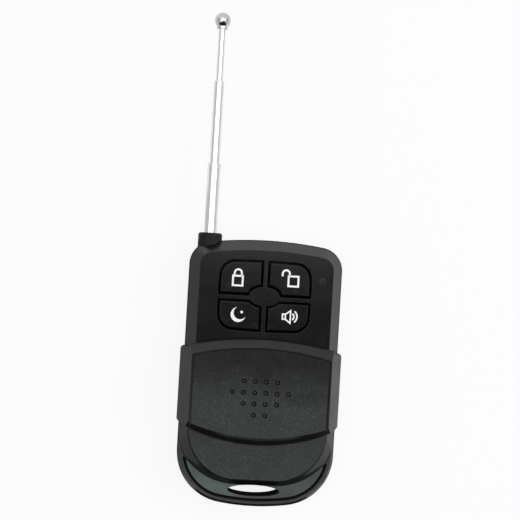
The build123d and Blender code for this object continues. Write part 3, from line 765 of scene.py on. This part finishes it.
# Indicator: yellow chip, and the smoked window of the light pipe over it
lightLooks = {
    "indicatorChip": {
        "node": "indicator_chip",
        "colour": rgb(0.72, 0.66, 0.42), "tint": rgb(0.8, 0.75, 0.6), "roughness": 0.35},
    "smokedWindow": {
        "node": "indicator_light_pipe",
        "colour": rgb(0.018, 0.018, 0.018), "tint": rgb(0.03, 0.03, 0.03), "roughness": 0.12},
}
lightWear = {"smudgeScale": 900.0, "smudgeRoughness": 0.06, "edgeRadius": 0.00025}


def makeLightFinish(name, look):
    material, tree, shader, coordinates, axes = startMaterial(name)
    smudge = smudgeAt(tree, coordinates, lightWear["smudgeScale"])
    smeared = times(tree, smudge, lightWear["smudgeRoughness"])
    fill(tree, shader, {
        "Base Color": mixColour(tree, smudge, look["colour"], look["tint"]),
        "Roughness": calc(tree, "ADD", look["roughness"], smeared),
        "Normal": useGroup(tree, softEdges, {"Radius": lightWear["edgeRadius"]})["Normal"],
    })
    dress(material, look["node"])


for lightName, lightLook in lightLooks.items():
    makeLightFinish(lightName, lightLook)
print("inside pieces dressed")


# Pictograms printed on the keys, in millimetres on the key's top
pictogramPrint = {
    "topZ": 13.345, "thickness": 0.06, "mergeDistance": 0.001,
    "shackleSteps": 18, "waveSteps": 14, "discSides": 72, "starCorners": 10, "cutterThickness": 0.24,
}
lockPrint = {
    "body": (-7.68, 24.76), "bodySize": (3.1, 3.07), "stroke": 0.5,
    "shackleCentre": (-7.65, 26.83), "shackleRadius": 0.95, "legFootY": 26.2,
}
unlockPrint = {
    "body": (7.22, 25.36), "bodySize": (3.15, 3.17), "stroke": 0.5,
    "shackleCentre": (5.2, 27.31), "shackleRadius": 0.95, "legFootY": 26.6,
}
moonPrint = {
    "centre": (-7.06, 15.73), "radius": 2.0, "biteCentre": (-6.57, 16.2), "biteRadius": 1.74,
    "starCentre": (-6.15, 16.43), "starRadius": 0.78, "starWaist": 0.46,
}
speakerPrint = {
    "boxCentre": (5.08, 15.83), "boxSize": (0.92, 1.72), "coneLength": 1.58, "coneHeight": 4.06,
    "outline": 0.19, "divider": 0.19,
    "waveCentre": (6.92, 15.93), "waveRadii": (0.97, 1.80), "waveHalfAngles": (58, 54),
    "waveStroke": 0.40,
}


def deselectAll():
    if bpy.context.object and bpy.context.object.mode != "OBJECT":
        bpy.ops.object.mode_set(mode="OBJECT")
    bpy.ops.object.select_all(action="DESELECT")


def placed(point, z=None):
    return (point[0] * mm, point[1] * mm, (pictogramPrint["topZ"] if z is None else z) * mm)


# gives flat faces the print's thickness, downwards
def thicken():
    bpy.ops.mesh.select_all(action="SELECT")
    depth = pictogramPrint["thickness"] * mm
    bpy.ops.mesh.extrude_region_move(TRANSFORM_OT_translate={"value": (0, 0, -depth)})
    bpy.ops.mesh.select_all(action="SELECT")
    bpy.ops.mesh.normals_make_consistent(inside=False)
    bpy.ops.object.mode_set(mode="OBJECT")


# a rectangle drawn as an outline
def addFrameShape(centre, size, stroke):
    deselectAll()
    bpy.ops.mesh.primitive_plane_add(size=1, location=placed(centre))
    bpy.ops.object.mode_set(mode="EDIT")
    bpy.ops.transform.resize(value=(size[0] * mm, size[1] * mm, 1))
    bpy.ops.mesh.inset(thickness=stroke * mm)
    bpy.ops.mesh.delete(type="FACE")
    thicken()
    return bpy.context.object


# the upright end face of a stroke that leaves along +Y
def addStroke(start, width):
    deselectAll()
    z = pictogramPrint["topZ"] - pictogramPrint["thickness"] / 2
    bpy.ops.mesh.primitive_plane_add(size=1, location=placed(start, z), rotation=(pi / 2, 0, 0))
    stroke = bpy.context.object
    bpy.ops.object.transform_apply(location=False, rotation=True, scale=False)
    bpy.ops.object.mode_set(mode="EDIT")
    bpy.ops.transform.resize(value=(width * mm, 1, pictogramPrint["thickness"] * mm))
    return stroke


def extrudeBy(x, y):
    bpy.ops.mesh.extrude_region_move(TRANSFORM_OT_translate={"value": (x * mm, y * mm, 0)})


def closeStroke():
    bpy.ops.mesh.select_all(action="SELECT")
    bpy.ops.mesh.remove_doubles(threshold=pictogramPrint["mergeDistance"] * mm)
    bpy.ops.mesh.normals_make_consistent(inside=False)
    bpy.ops.object.mode_set(mode="OBJECT")


def addShackle(look, rightLegFootY):
    (x, y), radius = look["shackleCentre"], look["shackleRadius"]
    shackle = addStroke((x - radius, look["legFootY"]), look["stroke"])
    extrudeBy(0, y - look["legFootY"])
    steps = pictogramPrint["shackleSteps"]
    bpy.ops.mesh.spin(steps=steps, angle=pi, center=placed((x, y)), axis=(0, 0, 1))
    extrudeBy(0, rightLegFootY - y)
    closeStroke()
    return shackle


def addWave(centre, radius, halfAngle, width):
    wave = addStroke((centre[0] + radius, centre[1]), width)
    bpy.ops.transform.rotate(value=radians(halfAngle), orient_axis="Z", center_override=placed(centre))
    steps = pictogramPrint["waveSteps"]
    bpy.ops.mesh.spin(steps=steps, angle=-radians(2 * halfAngle), center=placed(centre), axis=(0, 0, 1))
    closeStroke()
    return wave


def joinPieces(name, pieces):
    deselectAll()
    for piece in pieces:
        piece.select_set(True)
    bpy.context.view_layer.objects.active = pieces[0]
    if len(pieces) > 1:
        bpy.ops.object.join()
    joined = bpy.context.object
    joined.name = joined.data.name = name
    bpy.ops.object.transform_apply(location=True, rotation=True, scale=True)
    return joined


def addLockPrint(name, look):
    body = addFrameShape(look["body"], look["bodySize"], look["stroke"])
    bodyTop = look["body"][1] + look["bodySize"][1] / 2 - look["stroke"] / 2
    return joinPieces(name, [body, addShackle(look, bodyTop)])


def addDisc(centre, radius, thickness):
    deselectAll()
    z = pictogramPrint["topZ"] - pictogramPrint["thickness"] / 2
    bpy.ops.mesh.primitive_cylinder_add(vertices=pictogramPrint["discSides"], radius=radius * mm,
                                        depth=thickness * mm, location=placed(centre, z))
    return bpy.context.object


def addMoonPrint(name, look):
    moon = addDisc(look["centre"], look["radius"], pictogramPrint["thickness"])
    bite = addDisc(look["biteCentre"], look["biteRadius"], pictogramPrint["cutterThickness"])
    cut = moon.modifiers.new("bite", "BOOLEAN")
    cut.operation, cut.object, cut.solver = "DIFFERENCE", bite, "EXACT"
    deselectAll()
    bpy.context.view_layer.objects.active = moon
    bpy.ops.object.modifier_apply(modifier=cut.name)
    bpy.data.objects.remove(bite)
    deselectAll()
    bpy.ops.mesh.primitive_circle_add(
        vertices=pictogramPrint["starCorners"], radius=look["starRadius"] * mm, fill_type="NGON",
        location=placed(look["starCentre"]))
    star = bpy.context.object
    for vertex in star.data.vertices:
        vertex.select = vertex.index % 2 == 0
    bpy.context.tool_settings.mesh_select_mode = (True, False, False)
    bpy.ops.object.mode_set(mode="EDIT")
    waist = look["starWaist"]
    bpy.ops.transform.resize(value=(waist, waist, 1), center_override=placed(look["starCentre"]))
    thicken()
    return joinPieces(name, [moon, star])


def addSpeakerPrint(name, look):
    deselectAll()
    bpy.ops.mesh.primitive_plane_add(size=1, location=placed(look["boxCentre"]))
    horn = bpy.context.object
    width, height = look["boxSize"]
    bpy.ops.object.mode_set(mode="EDIT")
    bpy.ops.transform.resize(value=(width * mm, height * mm, 1))
    bpy.ops.object.mode_set(mode="OBJECT")
    for vertex in horn.data.vertices:
        vertex.select = vertex.co.x > 0
    for edge in horn.data.edges:
        edge.select = all(horn.data.vertices[index].co.x > 0 for index in edge.vertices)
    for face in horn.data.polygons:
        face.select = False
    bpy.context.tool_settings.mesh_select_mode = (False, True, False)
    bpy.ops.object.mode_set(mode="EDIT")
    extrudeBy(look["coneLength"], 0)
    bpy.ops.transform.resize(value=(1, look["coneHeight"] / height, 1))
    bpy.context.tool_settings.mesh_select_mode = (False, False, True)
    bpy.ops.mesh.select_all(action="SELECT")
    bpy.ops.mesh.inset(thickness=look["outline"] * mm)
    bpy.ops.mesh.inset(thickness=look["divider"] * mm, use_individual=True)
    bpy.ops.mesh.delete(type="FACE")
    thicken()
    pieces = [horn]
    for radius, halfAngle in zip(look["waveRadii"], look["waveHalfAngles"]):
        pieces.append(addWave(look["waveCentre"], radius, halfAngle, look["waveStroke"]))
    return joinPieces(name, pieces)


inkLook = {
    "colour": rgb(0.96, 0.97, 0.97), "thinColour": rgb(0.74, 0.76, 0.76), "thinShare": 0.5,
    "roughness": 0.5, "smudgeRoughness": 0.1, "smudgeScale": 1500.0,
    "grainScale": 5200.0, "grainDepth": 0.000005, "grainStrength": 0.5,
}


def makePrintInk():
    look = inkLook
    material, tree, shader, coordinates, axes = startMaterial("pictogramInk")
    grain = grainAt(tree, coordinates, look["grainScale"])
    smudge = smudgeAt(tree, coordinates, look["smudgeScale"])
    thin = times(tree, grain["Speckle"], smudge, look["thinShare"])
    fill(tree, shader, {
        "Base Color": mixColour(tree, thin, look["colour"], look["thinColour"]),
        "Roughness": calc(tree, "ADD", look["roughness"], times(tree, smudge, look["smudgeRoughness"])),
        "Normal": bump(tree, grain["Height"], look["grainDepth"], look["grainStrength"]),
    })
    return material


printInk = makePrintInk()
pictograms = {
    "lock_button": addLockPrint("lockPictogram", lockPrint),
    "unlock_button": addLockPrint("unlockPictogram", unlockPrint),
    "night_button": addMoonPrint("nightPictogram", moonPrint),
    "alert_button": addSpeakerPrint("alertPictogram", speakerPrint),
}
for body, pictogram in pictograms.items():
    pictogram.data.materials.clear()
    pictogram.data.materials.append(printInk)
    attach(pictogram, body)
print("pictograms printed")

# Studio: pale floor, white surroundings, two soft lamps, and dark and pale cards round the table
studio = {
    "floorSize": 6.0, "floorZ": -0.0003, "floorColour": rgb(0.86, 0.86, 0.86), "floorRoughness": 0.9,
    "floorGlow": 0.88,
    "fillStrength": 0.42, "backgroundStrength": 1.0,
    "cards": {
        "cameraCard": {"centre": (0.025, -0.001, 0.20), "size": (0.20, 0.084),
                       "turn": (0, 0, 0), "shade": 0.01},
        # painted shadow: a dark sheet under the case stands in for its shadow on the floor
        "underShadowCard": {"centre": (0, 0, -0.0001), "size": (0.056, 0.070),
                      "turn": (0, 0, 0), "shade": 0.02},
        "footWall": {"centre": (0, -0.45, 0.40), "size": (2.0, 0.8),
                     "turn": (90, 0, 0), "shade": 0.02},
        "footFloor": {"centre": (0, -0.445, -0.00005), "size": (0.60, 0.60),
                      "turn": (0, 0, 45), "shade": 0.02},
        "leftWall": {"centre": (-0.6, 0, 0.35), "size": (0.7, 0.9),
                     "turn": (0, 90, 0), "shade": 0.6},
        "leftFloor": {"centre": (-0.315, -0.2, -0.0001), "size": (0.57, 0.50),
                      "turn": (0, 0, 0), "shade": 0.6},
        "rightWall": {"centre": (0.6, 0, 0.35), "size": (0.7, 0.9),
                      "turn": (0, 90, 0), "shade": 0.62},
        "rightFloor": {"centre": (0.315, 0.0, -0.0001), "size": (0.57, 0.90),
                       "turn": (0, 0, 0), "shade": 0.88},
    },
    "lamps": {
        "overheadSoftbox": {"place": (-0.05, 0.05, 1.25), "size": 1.3, "power": 6.5},
        "rightSoftbox": {"place": (0.95, 0.25, 0.75), "size": 0.8, "power": 6},
    },
}


def seenByCamera(tree):
    rays = addNode(tree, "LightPath")
    return anyOf(tree, rays["Is Camera Ray"], rays["Is Glossy Ray"], rays["Is Transmission Ray"])


def addFloor():
    deselectAll()
    bpy.ops.mesh.primitive_plane_add(size=studio["floorSize"], location=(0, 0, studio["floorZ"]))
    floor = bpy.context.object
    floor.name = "studioFloor"
    material = bpy.data.materials.new("studioFloorPaper")
    material.use_nodes = True
    tree = material.node_tree
    shader = tree.nodes["Principled BSDF"]
    fill(tree, shader, {"Base Color": studio["floorColour"], "Roughness": studio["floorRoughness"]})
    glowShare = times(tree, seenByCamera(tree), studio["floorGlow"])
    glow = addNode(tree, "Emission", {"Color": rgb(1, 1, 1), "Strength": 1.0})[0]
    mix = addNode(tree, "MixShader", {0: glowShare, 1: shader.outputs[0], 2: glow})[0]
    tree.links.new(mix, tree.nodes["Material Output"].inputs[0])
    floor.data.materials.append(material)


# a card stands for what is round the table, or for the shadow on the floor under the case: only
# reflections show it
def addCard(name, look):
    deselectAll()
    turn = [radians(angle) for angle in look["turn"]]
    bpy.ops.mesh.primitive_plane_add(size=1, location=look["centre"], rotation=turn)
    card = bpy.context.object
    card.name = name
    card.scale = (*look["size"], 1)
    card.visible_camera = card.visible_diffuse = card.visible_shadow = False
    material = bpy.data.materials.new(name + "Paper")
    material.use_nodes = True
    tree = material.node_tree
    glow = addNode(tree, "Emission", {"Color": rgb(1, 1, 1), "Strength": look["shade"]})[0]
    tree.links.new(glow, tree.nodes["Material Output"].inputs[0])
    card.data.materials.append(material)


def addLamp(name, place, size, power):
    bpy.ops.object.light_add(type="AREA", location=place)
    lamp = bpy.context.object
    lamp.name = name
    lamp.data.size = size
    lamp.data.energy = power
    lamp.rotation_euler = (-Vector(place)).to_track_quat("-Z", "Y").to_euler()


def addWorld():
    world = bpy.data.worlds.new("studioWorld")
    world.use_nodes = True
    tree = world.node_tree
    strength = mixValue(tree, seenByCamera(tree), studio["fillStrength"], studio["backgroundStrength"])
    fill(tree, tree.nodes["Background"], {"Color": rgb(1, 1, 1), "Strength": strength})
    bpy.context.scene.world = world


addFloor()
for cardName, cardLook in studio["cards"].items():
    addCard(cardName, cardLook)
for lampName, lamp in studio["lamps"].items():
    addLamp(lampName, lamp["place"], lamp["size"], lamp["power"])
addWorld()
bpy.context.scene.view_settings.view_transform = "Standard"
print("studio lit")
